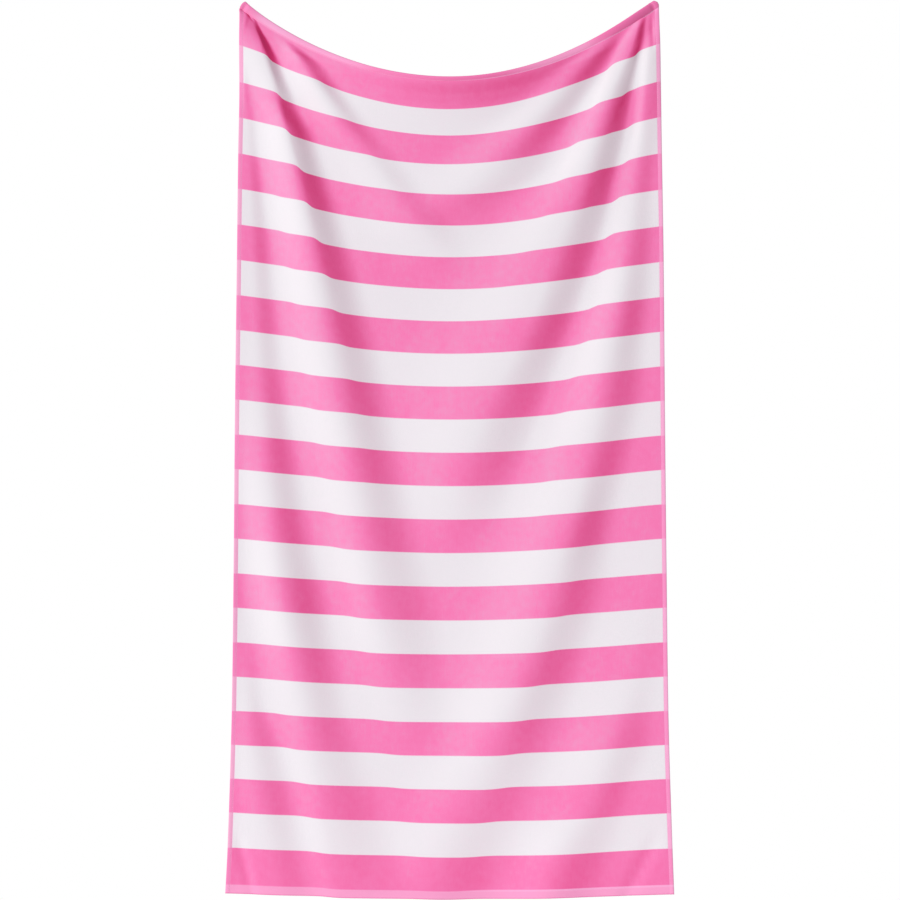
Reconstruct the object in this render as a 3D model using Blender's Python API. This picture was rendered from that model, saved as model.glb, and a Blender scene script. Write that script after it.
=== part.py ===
"""Striped beach towel hanging by its two top corners.

One woven cotton length with crosswise stripes. Its long edges are narrow turned selvedges and
its ends are wider turned hems, all of the same cloth. The weight hangs from the two corners, so
the top edge sags between them, the stripes bow with it, and folds fan out from both corners.

Metres, +Z up, front towards -Y, +X to the viewer's right. The origin is the middle of the line
between the two points where the corners are gripped, a little below their tips.
"""

import math
from collections import namedtuple

import bmesh
import bpy

MM = 0.001

# The cloth laid flat, in millimetres
CLOTH_LENGTH = 1524
STRIPE = 60
STRIPES = 23
TOP_BAND = 70
END_HEM = 12
SIDE_HEM = 7
HEM_SLOPE = 2

# Thickness through the pile, and through the turned hems
PILE_THICKNESS = 3.0
HEM_THICKNESS = 4.0

# The cloth's drops are measured from this far above the gripped points, near the corners' tips
GRIP_DROP = 8

# Cells of the modelled sheet, down it and across it: outside the main folds and between them
TOP_BAND_CELLS = 3
UPPER_STRIPES = 4
UPPER_STRIPE_CELLS = 3
STRIPE_CELLS = 2
BOTTOM_BAND_CELLS = 2
LEFT_CELLS = 9
MIDDLE_CELLS = 26
RIGHT_CELLS = 8

# The columns follow the crests of the main folds down to here, never nearer a long edge than this
FAN_END = 400
FAN_LEAST = 30

# How much the columns between the main folds crowd towards them, at the top edge and at FAN_END
TOP_CROWDING = 0.6
LOWER_CROWDING = 0.2

# Shape of a fold: how fast its gentle left flank fades, and where its steep right flank ends
LEFT_FADE = 2.2
RIGHT_REACH = 1.15

# The stripes' jogs rise more on the side of the long edge than they fall on the other side
JOG_LIFT = 0.4

PINK = (0.93, 0.21, 0.48, 1.0)
WHITE = (0.84, 0.80, 0.84, 1.0)
PILE_ROUGHNESS = 0.95

# How the cloth hangs, a row for each level, in millimetres. down is measured along the cloth
# from its top edge. left and right are the long edges' places. side and middle are how far the
# level has dropped at the left edge and half-way across. lean is how far its middle hangs
# forward. bowl is the power of the level's sag: 1 is a plain arc, more has level ends. skew is
# how much more that power is at the right edge and less at the left. tilt is how much further
# the level has dropped at the right edge.
Level = namedtuple("Level", "down left right side middle lean bowl skew tilt")
LEVELS = (
    Level(0, -347, 344, -1, 130, 40, 0.99, 0.045, 0),
    Level(5, -354, 354, 5, 134, 39, 0.99, 0.045, 0),
    Level(12, -357, 356, 14, 139, 38, 1.00, 0.03, -1),
    Level(40, -357, 357, 43, 161, 28, 1.08, 0, -2),
    Level(70, -357, 358, 74, 184, 20, 1.15, 0, -3),
    Level(130, -357, 359, 136, 228, 13, 1.20, 0, -2),
    Level(250, -359, 361, 257, 327, 9, 1.28, 0, 0),
    Level(430, -361, 364, 438, 486, 4, 1.32, 0, 3),
    Level(670, -364, 366, 675, 708, 1, 1.35, 0, 2),
    Level(970, -367, 369, 970, 993, 0, 1.35, 0, 0),
    Level(1210, -370, 372, 1204, 1223, 0, 1.35, 0, 0),
    Level(1450, -377, 379, 1436, 1451, 0, 1.35, 0, 2),
    Level(1524, -381, 382, 1515, 1524, 0, 1.30, 0, 2),
)

# The folds, a row for each place along the crest, in millimetres. down is along the cloth,
# across is the crest's place from the middle, height is how far it stands forward, and left and
# right are the widths of its flanks. power is how the right flank falls: with more it is
# steepest near the crest, with less near its foot.
Crest = namedtuple("Crest", "down across height left right power")
FOLDS = {
    "main_left": (
        Crest(10, -339, 1, 40, 10, 1.7),
        Crest(27, -333, 6, 60, 18, 1.7),
        Crest(41, -327, 9, 70, 22, 1.7),
        Crest(52, -323, 11, 70, 24, 1.7),
        Crest(64, -319, 12, 66, 27, 1.7),
        Crest(91, -309, 13, 58, 30, 2.0),
        Crest(121, -300, 13, 50, 34, 2.1),
        Crest(135, -296, 14, 50, 37, 2.4),
        Crest(181, -280, 20, 48, 50, 2.7),
        Crest(230, -269, 21, 54, 56, 2.7),
        Crest(330, -247, 22, 60, 66, 2.7),
        Crest(480, -218, 21, 76, 78, 2.7),
        Crest(650, -188, 20, 86, 88, 2.7),
        Crest(825, -154, 16, 86, 88, 2.7),
        Crest(1000, -124, 13, 76, 100, 2.7),
        Crest(1175, -86, 5, 84, 90, 2.7),
        Crest(1300, -60, 0, 84, 80, 2.7),
    ),
    "outer_left": (
        Crest(120, -350, 0, 80, 16, 2.7),
        Crest(290, -341, 4, 80, 24, 2.7),
        Crest(396, -337, 7, 80, 36, 2.7),
        Crest(584, -328, 8, 80, 46, 2.7),
        Crest(757, -314, 12, 74, 58, 2.7),
        Crest(910, -296, 14, 60, 66, 2.7),
        Crest(1014, -281, 17, 60, 76, 2.7),
        Crest(1186, -248, 11, 70, 74, 2.7),
        Crest(1360, -215, 10, 60, 92, 2.7),
        Crest(1524, -184, 12, 56, 104, 2.7),
    ),
    "swag_left": (
        Crest(14, -274, 0, 20, 30, 2.7),
        Crest(24, -265, 4, 24, 40, 2.7),
        Crest(36, -257, 10, 30, 48, 2.7),
        Crest(50, -250, 13, 36, 54, 2.7),
        Crest(80, -229, 14, 44, 56, 2.7),
        Crest(111, -207, 12, 52, 58, 2.7),
        Crest(136, -190, 10, 54, 60, 2.7),
        Crest(186, -144, 6, 72, 60, 2.7),
        Crest(237, -111, 7, 80, 64, 2.7),
        Crest(290, -78, 7, 94, 72, 2.7),
        Crest(343, -36, 4, 110, 70, 2.7),
        Crest(430, -10, 0, 110, 70, 2.7),
    ),
    "lower_left": (
        Crest(1000, -362, 0, 30, 30, 2.7),
        Crest(1194, -344, 3, 30, 30, 2.7),
        Crest(1282, -334, 7, 30, 56, 2.7),
        Crest(1368, -321, 8, 34, 66, 2.7),
        Crest(1524, -289, 7, 44, 72, 2.7),
    ),
    "swag_right": (
        Crest(4, 274, 0, 16, 20, 1.8),
        Crest(11, 266, 1.5, 24, 24, 1.8),
        Crest(19, 258, 3, 30, 27, 1.8),
        Crest(30, 246, 4.5, 38, 31, 1.8),
        Crest(74, 199, 5, 50, 42, 1.9),
        Crest(119, 152, 9, 74, 60, 1.9),
        Crest(169, 103, 10, 100, 75, 1.9),
        Crest(225, 56, 8, 110, 95, 1.9),
        Crest(270, -8, 5, 110, 100, 1.9),
        Crest(350, -64, 0, 100, 100, 1.9),
    ),
    "main_right": (
        Crest(10, 322, 1, 12, 12, 2.0),
        Crest(21, 316, 5, 20, 15, 2.0),
        Crest(41, 307, 6, 26, 22, 2.0),
        Crest(56, 301, 6, 32, 24, 1.9),
        Crest(85, 287, 8, 42, 29, 1.5),
        Crest(115, 275, 12, 50, 34, 1.5),
        Crest(151, 264, 14, 56, 38, 1.5),
        Crest(170, 258, 14, 60, 40, 1.5),
        Crest(211, 242, 15, 62, 46, 1.4),
        Crest(259, 226, 16, 90, 50, 1.4),
        Crest(359, 186, 17, 140, 64, 1.5),
        Crest(462, 151, 17, 170, 66, 1.6),
        Crest(549, 113, 17, 180, 74, 1.7),
        Crest(638, 68, 16, 160, 86, 1.7),
        Crest(727, 35, 14, 130, 88, 1.7),
        Crest(817, 13, 7, 100, 80, 1.8),
        Crest(930, -10, 0, 80, 80, 2.2),
    ),
    "outer_right": (
        Crest(40, 346, 0, 16, 20, 2.5),
        Crest(94, 338, 4, 16, 30, 2.5),
        Crest(193, 329, 4, 16, 34, 2.5),
        Crest(292, 316, 4, 34, 32, 2.5),
        Crest(389, 303, 7, 46, 44, 2.5),
        Crest(487, 288, 11, 56, 54, 2.5),
        Crest(573, 271, 13, 68, 60, 2.5),
        Crest(658, 256, 14, 78, 72, 2.5),
        Crest(744, 236, 15, 96, 80, 2.5),
        Crest(829, 215, 18, 112, 80, 2.5),
        Crest(915, 188, 22, 128, 94, 2.5),
        Crest(1001, 167, 19, 124, 98, 2.5),
        Crest(1088, 138, 17, 124, 96, 2.5),
        Crest(1175, 106, 17, 114, 102, 2.5),
        Crest(1262, 70, 14, 100, 110, 2.5),
        Crest(1351, 30, 13, 100, 115, 2.5),
        Crest(1441, -11, 13, 96, 115, 2.5),
        Crest(1524, -38, 12, 90, 110, 2.5),
    ),
    "lower_right": (
        Crest(900, 350, 0, 80, 30, 2.5),
        Crest(1101, 315, 2, 86, 50, 2.5),
        Crest(1188, 296, 4, 96, 56, 2.5),
        Crest(1274, 267, 9, 96, 74, 2.5),
        Crest(1359, 240, 7, 96, 66, 2.5),
        Crest(1444, 192, 11, 80, 88, 2.5),
        Crest(1524, 166, 9, 80, 90, 2.5),
    ),
}

# The jogs, where the stripes shift suddenly beside a fold, a row for each place along them, in
# millimetres. drop is how far a stripe drops there from left to right, soft is the width of the
# sudden part, and reach is how far the stripe stays off its own curve on either side.
Jog = namedtuple("Jog", "down across drop soft reach")
JOGS = {
    "main_left": (
        Jog(10, -336, 0, 4, 20),
        Jog(70, -308, 7, 4, 40),
        Jog(130, -289, 8, 5, 50),
        Jog(190, -274, 9, 5, 60),
        Jog(250, -254, 9, 6, 64),
        Jog(310, -239, 9, 6, 70),
        Jog(430, -208, 7, 8, 80),
        Jog(550, -179, 4, 9, 80),
        Jog(700, -145, 2, 12, 80),
        Jog(850, -125, 0, 12, 80),
    ),
    "left_trough": (
        Jog(250, -302, 0, 8, 40),
        Jog(310, -293, 2, 8, 50),
        Jog(430, -272, 3, 8, 50),
        Jog(550, -255, 3, 10, 50),
        Jog(790, -212, 3, 12, 60),
        Jog(1030, -162, 3, 14, 60),
        Jog(1270, -105, 3, 18, 70),
        Jog(1524, -45, 1, 20, 70),
    ),
    "lower_left": (
        Jog(1150, -308, 0, 10, 50),
        Jog(1270, -270, 3, 12, 50),
        Jog(1450, -223, 3, 14, 60),
        Jog(1524, -205, 2, 14, 60),
    ),
    "swag_left": (
        Jog(20, -262, 0, 8, 40),
        Jog(70, -218, 3, 8, 50),
        Jog(130, -169, 2, 9, 50),
        Jog(190, -128, 3, 10, 50),
        Jog(300, -66, 0, 10, 50),
    ),
    "swag_right": (
        Jog(14, 302, 0, 5, 40),
        Jog(70, 273, -7, 6, 40),
        Jog(130, 248, -5, 7, 44),
        Jog(190, 212, -5, 8, 50),
        Jog(250, 190, -3, 10, 50),
        Jog(430, 95, -1, 12, 60),
        Jog(500, 60, 0, 12, 60),
    ),
    "main_right": (
        Jog(20, 334, 0, 4, 16),
        Jog(70, 318, -6, 4, 32),
        Jog(130, 298, -5, 5, 34),
        Jog(190, 269, -2, 6, 34),
        Jog(250, 248, -3, 8, 34),
        Jog(370, 215, 0, 8, 34),
    ),
    "outer_right": (
        Jog(110, 322, 0, 6, 40),
        Jog(190, 307, -5, 6, 44),
        Jog(250, 300, -5, 6, 50),
        Jog(310, 284, -7, 6, 54),
        Jog(430, 258, -6, 8, 60),
        Jog(550, 228, -5, 9, 70),
        Jog(670, 192, -3, 10, 70),
        Jog(790, 166, -2, 12, 70),
        Jog(900, 145, 0, 12, 70),
    ),
    "lower_right": (
        Jog(880, 240, 0, 14, 70),
        Jog(970, 213, -2, 14, 70),
        Jog(1090, 171, -3, 14, 70),
        Jog(1210, 128, -3, 16, 70),
        Jog(1330, 88, -4, 20, 70),
        Jog(1524, 25, -1, 20, 70),
    ),
}


def clear_scene():
    """Remove every object already in the scene."""
    for thing in list(bpy.data.objects):
        bpy.data.objects.remove(thing, do_unlink=True)


def slope_at(before, here, after, column):
    """Slope of one column at a row, level where the column turns back."""
    rise = (here[column] - before[column]) / (here[0] - before[0])
    fall = (after[column] - here[column]) / (after[0] - here[0])
    if rise * fall <= 0:
        return 0.0
    return 2 * rise * fall / (rise + fall)


def row_at(table, down):
    """Row of a table at one distance down the cloth, on smooth curves through its rows."""
    last = len(table) - 1
    index = 0
    while index < last - 1 and table[index + 1].down < down:
        index += 1
    start = table[index]
    end = table[index + 1]
    span = end.down - start.down
    part = (down - start.down) / span
    values = [down]
    for column in range(1, len(start)):
        straight = (end[column] - start[column]) / span
        leave = slope_at(table[index - 1], start, end, column) if index > 0 else straight
        reach = slope_at(start, end, table[index + 2], column) if index + 2 <= last else straight
        value = start[column] * (1 + 2 * part) * (1 - part) ** 2
        value += end[column] * part * part * (3 - 2 * part)
        value += leave * span * part * (1 - part) ** 2
        value -= reach * span * part * part * (1 - part)
        values.append(value)
    return type(start)(*values)


def fold_height(crest, x):
    """How far a fold stands forward at x: a gentle left flank and a steeper right one."""
    if x < crest.across:
        return crest.height * math.exp(-LEFT_FADE * ((crest.across - x) / crest.left) ** 2)
    reach = (x - crest.across) / (RIGHT_REACH * crest.right)
    if reach >= 1:
        return 0.0
    return crest.height * math.cos(0.5 * math.pi * reach) ** crest.power


def stripe_lift(jog, x):
    """How far a jog lifts the stripes at x."""
    aside = x - jog.across
    fade = math.exp(-((aside / jog.reach) ** 2))
    return 0.5 * (JOG_LIFT * abs(jog.drop) - jog.drop * math.tanh(aside / jog.soft)) * fade


def rows_at(tables, down):
    """The row of each table that reaches a distance down the cloth."""
    return [row_at(table, down) for table in tables if table[0].down <= down <= table[-1].down]


def cloth_point(level, crests, jogs, x):
    """Place of the point of the cloth at x along one level."""
    turn = 2 * (x - level.left) / (level.right - level.left) - 1
    sag = max(0.0, 1 - turn * turn) ** (level.bowl + level.skew * turn)
    z = GRIP_DROP - level.side - (level.middle - level.side) * sag
    z -= level.tilt * 0.5 * (1 + turn)
    z += sum(stripe_lift(jog, x) for jog in jogs)
    forward = level.lean * (1 - turn * turn) ** 2 + sum(fold_height(crest, x) for crest in crests)
    return x * MM, -forward * MM, z * MM


def even_steps(start, end, cells):
    """Lines that part a stretch into equal cells, without the line at its end."""
    return [start + (end - start) * cell / cells for cell in range(cells)]


def lines_down():
    """Distances down the cloth of the sheet's rows, with one on each stripe's edge."""
    lines = [0, END_HEM]
    lines += even_steps(END_HEM + HEM_SLOPE, TOP_BAND, TOP_BAND_CELLS)
    for stripe in range(STRIPES):
        cells = UPPER_STRIPE_CELLS if stripe < UPPER_STRIPES else STRIPE_CELLS
        top = TOP_BAND + stripe * STRIPE
        lines += even_steps(top, top + STRIPE, cells)
    inner_end = CLOTH_LENGTH - END_HEM - HEM_SLOPE
    lines += even_steps(TOP_BAND + STRIPES * STRIPE, inner_end, BOTTOM_BAND_CELLS)
    return lines + [inner_end, CLOTH_LENGTH - END_HEM, CLOTH_LENGTH]


def lines_across(level, down):
    """Places of the sheet's columns along a level, which fan out with the two main folds."""
    depth = min(down, FAN_END)
    start = level.left + SIDE_HEM + HEM_SLOPE
    end = level.right - SIDE_HEM - HEM_SLOPE
    left = max(row_at(FOLDS["main_left"], depth).across, start + FAN_LEAST)
    right = min(row_at(FOLDS["main_right"], depth).across, end - FAN_LEAST)
    crowding = TOP_CROWDING + (LOWER_CROWDING - TOP_CROWDING) * depth / FAN_END
    places = [level.left, level.left + SIDE_HEM]
    places += even_steps(start, left, LEFT_CELLS)
    for even in even_steps(0, 1, MIDDLE_CELLS):
        crowded = 0.5 * (1 - math.cos(math.pi * even))
        places.append(left + (right - left) * (even + crowding * (crowded - even)))
    places += even_steps(right, end, RIGHT_CELLS)
    return places + [end, level.right - SIDE_HEM, level.right]


def split_along_folds(face):
    """Part a cell of the flat grid the way the folds run: down towards the middle."""
    side = -1 if face.calc_center_median().x < 0 else 1
    corners = sorted(face.verts, key=lambda vert: side * vert.co.x + vert.co.y)
    bmesh.utils.face_split(face, corners[0], corners[-1])


def is_white(row, column, downs, columns):
    """Whether a cell lies in a white stripe: every other stripe, inside the pink long edges."""
    if column == 0 or column == columns - 1:
        return False
    middle = 0.5 * (downs[row] + downs[row + 1]) - TOP_BAND
    stripe = math.floor(middle / STRIPE)
    return 0 <= stripe < STRIPES and stripe % 2 == 0


def hanging_sheet():
    """Mesh of the cloth's middle surface in its two colours, and the numbers of its hem points."""
    downs = lines_down()
    rows = []
    for down in downs:
        level = row_at(LEVELS, down)
        crests = rows_at(FOLDS.values(), down)
        jogs = rows_at(JOGS.values(), down)
        rows.append([cloth_point(level, crests, jogs, x) for x in lines_across(level, down)])
    down_cells = len(rows) - 1
    across_cells = len(rows[0]) - 1

    sheet = bmesh.new()
    bmesh.ops.create_grid(sheet, x_segments=across_cells, y_segments=down_cells, size=1)
    for face in list(sheet.faces):
        middle = face.calc_center_median()
        row = math.floor((1 - middle.y) / 2 * down_cells)
        column = math.floor((middle.x + 1) / 2 * across_cells)
        face.material_index = int(is_white(row, column, downs, across_cells))
        face.smooth = True
        split_along_folds(face)
    hems = []
    for vert in sheet.verts:
        column = round((vert.co.x + 1) / 2 * across_cells)
        row = round((1 - vert.co.y) / 2 * down_cells)
        vert.co = rows[row][column]
        if row < 2 or row > down_cells - 2 or column < 2 or column > across_cells - 2:
            hems.append(vert.index)
    mesh = bpy.data.meshes.new("towel")
    sheet.to_mesh(mesh)
    sheet.free()
    return mesh, hems


def cloth_material(name, colour):
    """Matt cotton of one dyed colour."""
    material = bpy.data.materials.new(name)
    material.use_nodes = True
    shader = material.node_tree.nodes["Principled BSDF"]
    shader.inputs["Base Color"].default_value = colour
    shader.inputs["Roughness"].default_value = PILE_ROUGHNESS
    shader.inputs["Metallic"].default_value = 0.0
    return material


def build_towel():
    """The towel: one sheet thickened both ways, a little more in its hems."""
    mesh, hems = hanging_sheet()
    mesh.materials.append(cloth_material("pink_cotton", PINK))
    mesh.materials.append(cloth_material("white_cotton", WHITE))
    towel = bpy.data.objects.new("towel", mesh)
    bpy.context.scene.collection.objects.link(towel)
    group = towel.vertex_groups.new(name="hems")
    group.add(hems, 1.0, "REPLACE")
    solidify = towel.modifiers.new("thickness", "SOLIDIFY")
    solidify.thickness = HEM_THICKNESS * MM
    solidify.offset = 0.0
    solidify.vertex_group = group.name
    solidify.thickness_vertex_group = PILE_THICKNESS / HEM_THICKNESS
    return towel


clear_scene()
build_towel()
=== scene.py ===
"""Striped beach towel hanging by its two top corners: its cloth, its sewn hems and a plain studio.

The scene is in metres, +Z up, front towards -Y, +X to the viewer's right. Sizes in the tables
and the classes are millimetres, except the studio's.
"""

import logging
import math
from dataclasses import dataclass, field
from enum import Enum
from typing import Any, NamedTuple, Sequence, Union

import bpy
import numpy as np
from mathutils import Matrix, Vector


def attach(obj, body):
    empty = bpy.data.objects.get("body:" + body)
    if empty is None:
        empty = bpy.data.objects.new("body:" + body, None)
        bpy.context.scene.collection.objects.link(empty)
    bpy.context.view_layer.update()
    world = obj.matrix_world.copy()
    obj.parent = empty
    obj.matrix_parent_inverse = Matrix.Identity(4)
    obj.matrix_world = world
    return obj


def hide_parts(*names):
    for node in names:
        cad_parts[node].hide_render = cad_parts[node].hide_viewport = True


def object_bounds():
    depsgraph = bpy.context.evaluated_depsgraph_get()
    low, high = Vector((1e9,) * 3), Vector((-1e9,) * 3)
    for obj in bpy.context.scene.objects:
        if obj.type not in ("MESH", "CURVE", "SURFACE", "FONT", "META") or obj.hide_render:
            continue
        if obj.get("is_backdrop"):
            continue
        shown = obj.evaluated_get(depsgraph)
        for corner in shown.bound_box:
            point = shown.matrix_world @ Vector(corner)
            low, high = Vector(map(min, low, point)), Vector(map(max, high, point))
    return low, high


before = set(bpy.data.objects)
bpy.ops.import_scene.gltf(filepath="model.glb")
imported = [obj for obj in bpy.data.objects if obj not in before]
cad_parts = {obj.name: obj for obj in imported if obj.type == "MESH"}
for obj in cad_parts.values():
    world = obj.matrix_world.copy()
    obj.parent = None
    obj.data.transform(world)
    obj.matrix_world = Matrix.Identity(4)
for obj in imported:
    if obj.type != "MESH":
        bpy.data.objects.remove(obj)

LOG = logging.getLogger("towel")
MM = 0.001

# The cloth laid flat, and its two end hems' widths as shares of END_HEM's.
FLAT_WIDTH = 762.0
FLAT_LENGTH = 1524.0
TOP_SHARE = 0.85
BOTTOM_SHARE = 1.28

Colour = tuple[float, float, float]


class Face(Enum):
    """The two faces of the cloth, as the way each one stands off its middle surface."""

    FRONT = 1
    BACK = -1


class Grain(NamedTuple):
    """How one kind of unevenness in the cloth looks.

    fineness is its lumps for each millimetre, detail how many finer layers it has, and
    stretch how many times longer its lumps are down the cloth than across it.
    """

    fineness: float
    detail: float
    stretch: float


class Noise(Enum):
    """Kinds of unevenness in the cloth."""

    STRIPE_EDGE = Grain(0.9, 2.0, 1.0)
    PILE = Grain(0.62, 2.5, 1.0)
    TUFT = Grain(0.08, 2.0, 1.0)
    NAP = Grain(0.021, 3.0, 2.5)
    YARN = Grain(0.35, 2.0, 6.0)


class Level(NamedTuple):
    """How the cloth hangs at one distance down it.

    left and right are the long edges' places, side and middle how far the level has dropped at
    the left edge and half-way across, lean how far its middle hangs forward, bowl the power of
    its sag (1 is a plain arc, more has level ends), skew how much more that power is at the
    right edge and less at the left, and tilt how much lower the right edge is.
    """

    down: float
    left: float
    right: float
    side: float
    middle: float
    lean: float
    bowl: float
    skew: float
    tilt: float


class Crest(NamedTuple):
    """One place along a fold's crest.

    across is its place from the middle, height how far it stands forward, left and right the
    widths of its flanks, and power how its right flank falls: with more it is steepest near the
    crest, with less near its foot.
    """

    down: float
    across: float
    height: float
    left: float
    right: float
    power: float


class Jog(NamedTuple):
    """One place along a line beside a fold where the stripes shift suddenly.

    drop is how far a stripe drops there from left to right, soft the width of the sudden part,
    and reach how far the stripe stays off its own curve on either side.
    """

    down: float
    across: float
    drop: float
    soft: float
    reach: float


class Crease(NamedTuple):
    """A short soft ridge, or a trough where its height is below nought, between two places."""

    down: float
    across: float
    to_down: float
    to_across: float
    width: float
    height: float


class Hem(NamedTuple):
    """One station of a turned hem: its distance from the edge and half its thickness there."""

    inwards: float
    half: float


class TopHem(NamedTuple):
    """How the top hem lies at one place across, from -1 at its left end to 1 at its right.

    light is how much of the light pink shows, which is its flat weave's paler dye and painted
    light that changes along it, or below nought how much painted shade darkens it, and roll how
    far its edge stands forward of the line it is sewn along.
    """

    turn: float
    light: float
    roll: float


LEVELS = (
    Level(0, -347, 347, -1, 130, 40, 0.99, 0.06, -1),
    Level(2, -351, 353, 1, 131.6, 40, 0.99, 0.06, -1),
    Level(5, -354.5, 355.5, 5, 134, 39, 0.99, 0.06, -1),
    Level(12, -357, 356, 14, 139, 38, 1, 0.045, -1),
    Level(40, -357, 357, 43, 161, 28, 1.08, 0, -2),
    Level(70, -357, 358, 74, 184, 20, 1.15, 0, -3),
    Level(130, -357, 359, 136, 228, 13, 1.2, 0, -2),
    Level(250, -359, 361, 257, 327, 9, 1.28, 0, 0),
    Level(430, -361, 364, 438, 486, 4, 1.32, 0, 3),
    Level(670, -364, 366, 675, 708, 1, 1.35, 0, 2),
    Level(970, -367, 369, 970, 993, 0, 1.35, 0, 0),
    Level(1210, -370, 372, 1204, 1223, 0, 1.35, 0, 0),
    Level(1450, -377, 379, 1436, 1451, 0, 1.35, 0, 2),
    Level(1524, -381, 382, 1515, 1524, 0, 1.3, 0, 2),
)

MAIN_LEFT = (
    Crest(10, -336, 1.5, 60, 8, 1.7),
    Crest(27, -331, 6.5, 84, 14, 1.7),
    Crest(41, -326, 11, 90, 19, 1.7),
    Crest(52, -323, 13.5, 90, 23, 1.7),
    Crest(64, -320, 15, 84, 27, 1.7),
    Crest(91, -311, 15, 70, 31, 2),
    Crest(121, -300, 14, 56, 35, 2.1),
    Crest(135, -296, 14, 50, 37, 2.4),
    Crest(181, -280, 20, 48, 50, 2.7),
    Crest(230, -269, 21, 54, 56, 2.7),
    Crest(330, -247, 22, 60, 66, 2.7),
    Crest(480, -218, 21, 76, 78, 2.7),
    Crest(650, -188, 20, 86, 88, 2.7),
    Crest(825, -154, 16, 86, 88, 2.7),
    Crest(1000, -124, 13, 76, 100, 2.7),
    Crest(1175, -86, 5, 84, 90, 2.7),
    Crest(1300, -60, 0, 84, 80, 2.7),
)

MAIN_RIGHT = (
    Crest(10, 324, 2, 16, 10, 2),
    Crest(21, 319, 5, 24, 13, 2),
    Crest(41, 312.5, 7, 36, 18, 2),
    Crest(56, 307, 7.5, 40, 22, 1.9),
    Crest(85, 291, 9, 46, 28, 1.6),
    Crest(115, 276, 12, 50, 34, 1.5),
    Crest(151, 264, 14, 56, 38, 1.5),
    Crest(170, 258, 14, 60, 40, 1.5),
    Crest(211, 242, 15, 62, 46, 1.4),
    Crest(259, 226, 16, 90, 50, 1.4),
    Crest(359, 186, 17, 140, 64, 1.5),
    Crest(462, 151, 17, 170, 66, 1.6),
    Crest(549, 113, 17, 180, 74, 1.7),
    Crest(638, 68, 16, 160, 86, 1.7),
    Crest(727, 35, 14, 130, 88, 1.7),
    Crest(817, 13, 7, 100, 80, 1.8),
    Crest(930, -10, 0, 80, 80, 2.2),
)

OTHER_FOLDS = {
    "outer_left": (
        Crest(120, -350, 0, 80, 16, 2.7),
        Crest(290, -341, 4, 80, 24, 2.7),
        Crest(396, -337, 7, 80, 36, 2.7),
        Crest(584, -328, 8, 80, 46, 2.7),
        Crest(757, -314, 12, 74, 58, 2.7),
        Crest(910, -296, 14, 60, 66, 2.7),
        Crest(1014, -281, 17, 60, 76, 2.7),
        Crest(1186, -248, 11, 70, 74, 2.7),
        Crest(1360, -215, 9, 66, 96, 2.6),
        Crest(1440, -201, 9, 70, 112, 2.5),
        Crest(1524, -184, 9, 86, 140, 2.2),
    ),
    "swag_left": (
        Crest(14, -274, 0, 20, 30, 2.7),
        Crest(24, -265, 4, 24, 40, 2.7),
        Crest(36, -257, 10, 30, 48, 2.7),
        Crest(50, -250, 13, 36, 54, 2.7),
        Crest(80, -229, 14, 44, 56, 2.7),
        Crest(111, -207, 12, 52, 58, 2.7),
        Crest(136, -190, 10, 54, 60, 2.7),
        Crest(186, -144, 6, 72, 60, 2.7),
        Crest(237, -111, 7, 80, 64, 2.7),
        Crest(290, -78, 7, 94, 72, 2.7),
        Crest(343, -36, 4, 110, 70, 2.7),
        Crest(430, -10, 0, 110, 70, 2.7),
    ),
    "lower_left": (
        Crest(1000, -362, 0, 30, 30, 2.7),
        Crest(1194, -344, 3, 30, 30, 2.7),
        Crest(1282, -334, 7, 56, 56, 2.7),
        Crest(1368, -321, 8, 70, 66, 2.7),
        Crest(1524, -289, 7, 110, 70, 2.5),
    ),
    "swag_right": (
        Crest(4, 274, 0, 16, 20, 1.8),
        Crest(11, 263, 1.7, 36, 27, 1.8),
        Crest(19, 253, 4, 52, 33, 1.8),
        Crest(30, 239, 6.8, 66, 42, 1.8),
        Crest(74, 193, 8.4, 76, 58, 1.9),
        Crest(119, 150, 9.8, 84, 66, 1.9),
        Crest(169, 103, 10, 100, 75, 1.9),
        Crest(225, 56, 8, 110, 95, 1.9),
        Crest(270, -8, 5, 110, 100, 1.9),
        Crest(350, -64, 0, 100, 100, 1.9),
    ),
    "outer_right": (
        Crest(40, 346, 0, 16, 20, 2.5),
        Crest(94, 338, 4, 16, 30, 2.5),
        Crest(193, 329, 4, 16, 34, 2.5),
        Crest(292, 316, 4, 34, 32, 2.5),
        Crest(389, 303, 7, 46, 44, 2.5),
        Crest(487, 288, 11, 56, 54, 2.5),
        Crest(573, 271, 13, 68, 60, 2.5),
        Crest(658, 256, 14, 78, 72, 2.5),
        Crest(744, 236, 14, 100, 74, 2.5),
        Crest(829, 215, 16, 116, 72, 2.5),
        Crest(915, 188, 19, 130, 84, 2.5),
        Crest(1001, 167, 17, 126, 92, 2.5),
        Crest(1088, 138, 17, 124, 96, 2.5),
        Crest(1175, 106, 17, 114, 102, 2.5),
        Crest(1262, 70, 13, 106, 110, 2.5),
        Crest(1351, 30, 10, 116, 112, 2.5),
        Crest(1441, -11, 9.5, 116, 112, 2.5),
        Crest(1524, -38, 8, 110, 110, 2.5),
    ),
    "lower_right": (
        Crest(900, 350, 0, 80, 30, 2.5),
        Crest(1101, 315, 2, 86, 50, 2.5),
        Crest(1188, 296, 4, 96, 56, 2.5),
        Crest(1274, 267, 9, 96, 74, 2.5),
        Crest(1359, 240, 7, 96, 66, 2.5),
        Crest(1444, 192, 11, 80, 88, 2.5),
        Crest(1524, 166, 10, 84, 84, 2.5),
    ),
}

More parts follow.
